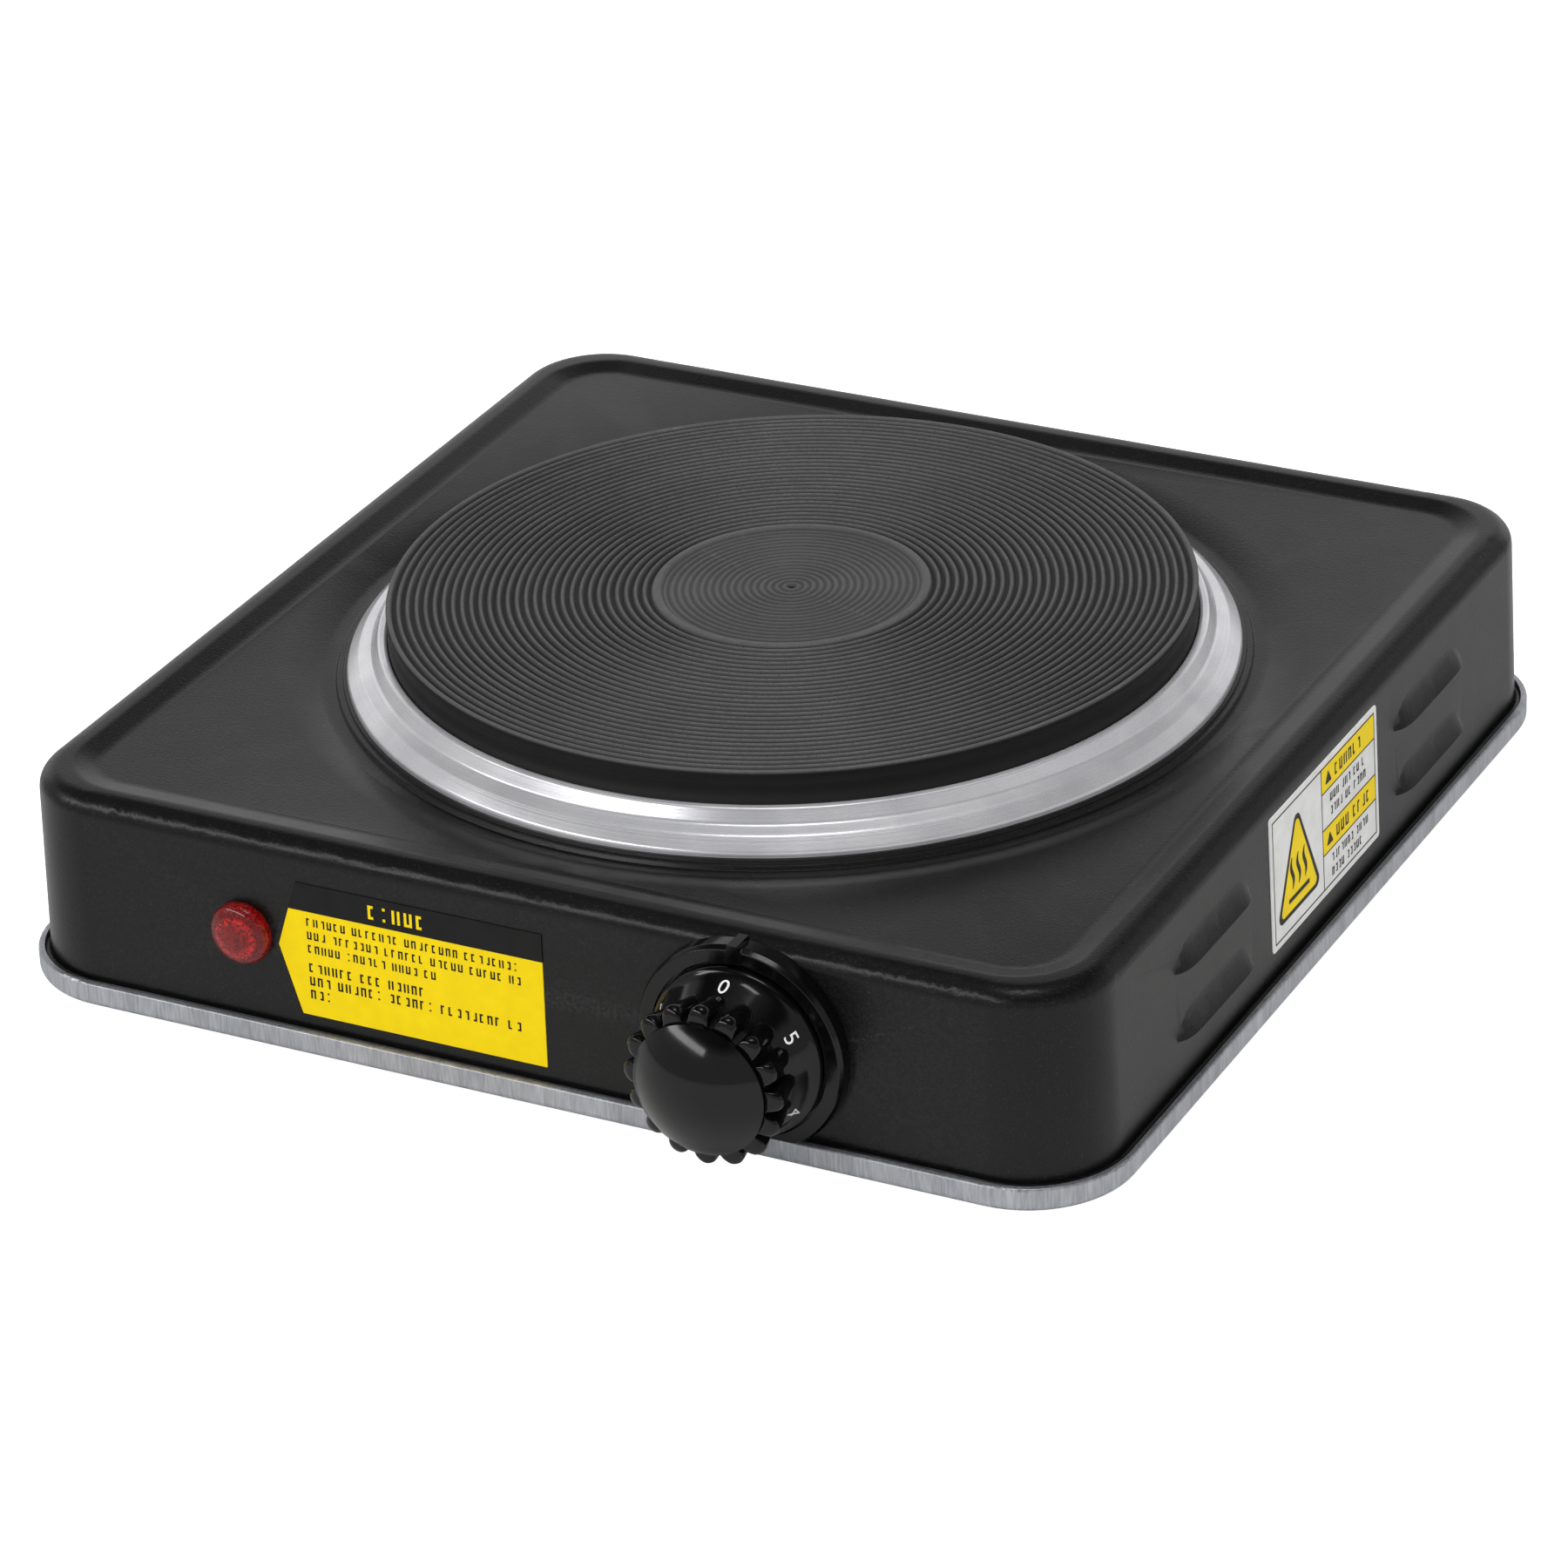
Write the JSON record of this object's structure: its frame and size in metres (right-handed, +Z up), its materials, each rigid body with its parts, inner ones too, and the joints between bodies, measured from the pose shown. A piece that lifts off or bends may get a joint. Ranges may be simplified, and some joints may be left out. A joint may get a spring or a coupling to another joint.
{
  "type": "hot plate burner",
  "caption": "Square electric hot plate with a ridged round cast-iron plate, bright spill ring, front knob and pilot lamp.",
  "frame": {"origin": "centre of the overall box on the table, under the rubber feet", "axes": "+Z up out of the cooking plate, -Y to the front where the knob is, +X to the user's right"},
  "size_m": [0.2254, 0.2472, 0.0603],
  "materials": {
    "black_enamel": "stove enamel, satin, fine orange peel",
    "bright_steel": "bright rolled steel, fine upright grain on the rim",
    "cast_iron": "machined cast iron with a dark heat-resistant coating",
    "ring_chrome": "polished steel",
    "black_rubber": "moulded rubber",
    "zinc_steel": "zinc plated",
    "element_steel": "spring and sheath steel, slightly heat tinted",
    "magnesia": "packed magnesia cement, matt",
    "porcelain": "unglazed porcelain",
    "knob_plastic": "high gloss phenolic",
    "black_plastic": "semi gloss moulded",
    "brass": "plain stamped brass",
    "bimetal": "rolled strip",
    "silver_alloy": "silver contact alloy",
    "red_lens": "clear red, moulded facets inside",
    "bulb_glass": "clear glass",
    "yellow_foil": "printed foil",
    "white_foil": "printed foil",
    "silver_foil": "blank printed foil",
    "brown_wire": "silicone insulation",
    "white_wire": "glass-braid sleeving",
    "blue_wire": "silicone insulation",
    "green_yellow_wire": "silicone insulation, green and yellow"
  },
  "bodies": {
    "chassis": {"base_pan": "bright_steel", "bimetal_strip": "bimetal", "block_screw": "zinc_steel", "centre_stud": "zinc_steel", "clamp_bar": "zinc_steel", "coil_insulation": "magnesia", "control_screws": "zinc_steel", "cord_gland": "black_rubber", "corner_brackets": "zinc_steel", "cover_nut": "zinc_steel", "earth_nut": "brass", "earth_screw": "zinc_steel", "earth_tag": "brass", "earth_wire": "green_yellow_wire", "element_tabs": "zinc_steel", "fixed_leaf": "brass", "foot_left_back": "black_rubber", "foot_left_front": "black_rubber", "foot_right_back": "black_rubber", "foot_right_front": "black_rubber", "foot_screws": "zinc_steel", "front_label": "yellow_foil", "heater_wire": "white_wire", "heating_coil": "element_steel", "hotplate": "cast_iron", "housing": "black_enamel", "knob_bezel": "black_plastic", "lamp_clip": "element_steel", "lamp_holder": "black_plastic", "lamp_lead_heater": "white_wire", "lamp_lead_neutral": "white_wire", "lamp_lens": "red_lens", "lead_bushes": "porcelain", "live_wire": "brown_wire", "moving_leaf": "brass", "neon_bulb": "bulb_glass", "neutral_wire": "blue_wire", "plate_back_cover": "zinc_steel", "rating_label": "silver_foil", "side_label": "white_foil", "spill_ring": "ring_chrome", "stack_insulators": "porcelain", "stack_rivet": "brass", "stud_nut": "zinc_steel", "stud_washer": "zinc_steel", "switch_contacts": "silver_alloy", "terminal_block": "porcelain", "terminal_screws": "zinc_steel", "terminal_tubes": "brass", "thermostat_frame": "zinc_steel", "wire_receptacles": "brass"},
    "control": {"knob": "knob_plastic", "knob_clip": "element_steel", "control_shaft": "zinc_steel", "shaft_ring": "element_steel"}
  },
  "joints": [
    {"name": "knob_turn", "type": "hinge", "parent": "chassis", "child": "control", "pos_m": [0.0455, -0.09924, 0.0282], "axis": [0, 1, 0], "range_deg": [0, 300]}
  ]
}
